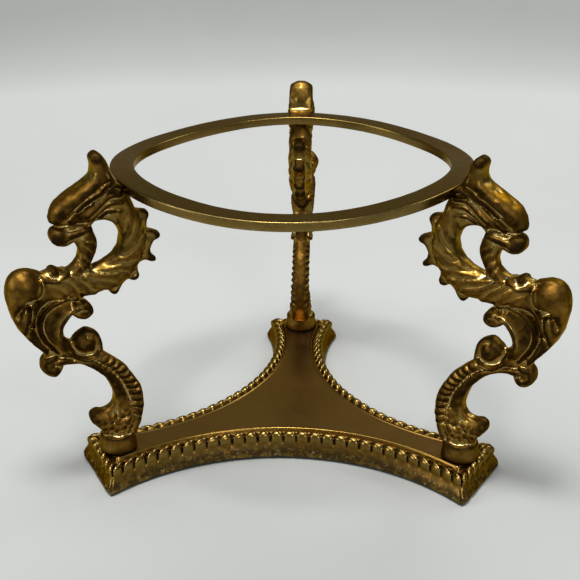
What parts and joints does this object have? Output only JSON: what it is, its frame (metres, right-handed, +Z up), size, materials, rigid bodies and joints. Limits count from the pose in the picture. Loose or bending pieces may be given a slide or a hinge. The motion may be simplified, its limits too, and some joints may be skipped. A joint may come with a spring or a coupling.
{
  "type": "three-legged ring display stand",
  "caption": "Cast brass display stand: griffin scroll legs on a concave-sided beaded plinth hold up a flat ring that a ball, egg or bowl rests in.",
  "frame": {"origin": "centre of the felt's underside, on the ring's axis", "axes": "+Z up along the ring's axis, +Y towards the rear leg, so the plinth's front hollow side faces -Y"},
  "size_m": [0.173, 0.1584, 0.1124],
  "materials": {
    "cast_brass": "antique, satin, worn bright on the high spots",
    "turned_brass": "satin, dulled",
    "steel": "plain",
    "felt": "felt"
  },
  "bodies": {
    "root": {"base_plate": "cast_brass", "base_felt": "felt", "top_ring": "turned_brass", "leg_left": "cast_brass", "leg_right": "cast_brass", "leg_rear": "cast_brass", "leg_screw_left": "steel", "leg_screw_right": "steel", "leg_screw_rear": "steel", "leg_washer_left": "steel", "leg_washer_right": "steel", "leg_washer_rear": "steel", "ring_dowel_left": "turned_brass", "ring_dowel_right": "turned_brass", "ring_dowel_rear": "turned_brass"}
  },
  "joints": []
}
